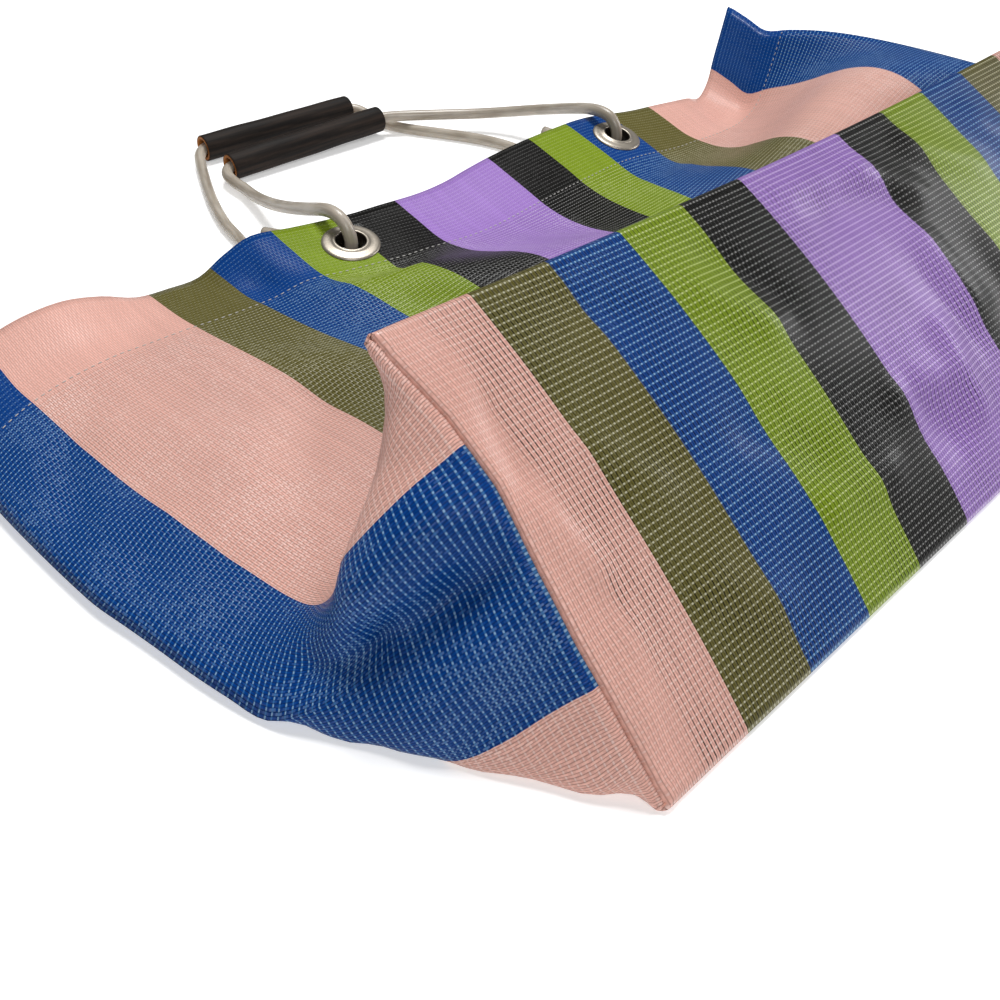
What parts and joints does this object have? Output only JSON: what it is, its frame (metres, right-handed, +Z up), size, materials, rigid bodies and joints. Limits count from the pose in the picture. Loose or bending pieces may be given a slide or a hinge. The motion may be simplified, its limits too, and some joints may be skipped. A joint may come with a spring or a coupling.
{
  "type": "net tote bag",
  "caption": "Soft net tote bag lying collapsed on its back panel, with a boxed base, a turned hem, metal eyelets and cord handles with leather grips.",
  "frame": {"origin": "on the floor, under the middle of the bag and grips", "axes": "+X along the base from the near side to the far side, +Y from the base to the mouth, +Z up"},
  "size_m": [0.4542, 0.4222, 0.0838],
  "materials": {
    "net": "woven coated yarn, glossy",
    "eyelet": "nickel plated",
    "grip": "smooth dark hide with raw cut ends",
    "cord": "braided, slightly see-through"
  },
  "bodies": {
    "root": {"net_body": "net", "eyelet_front_near": "eyelet", "eyelet_front_far": "eyelet", "eyelet_back_far": "eyelet", "eyelet_back_near": "eyelet", "grip_front": "grip", "grip_rear": "grip", "handle_cord_front": "cord", "handle_cord_rear": "cord"}
  },
  "joints": []
}
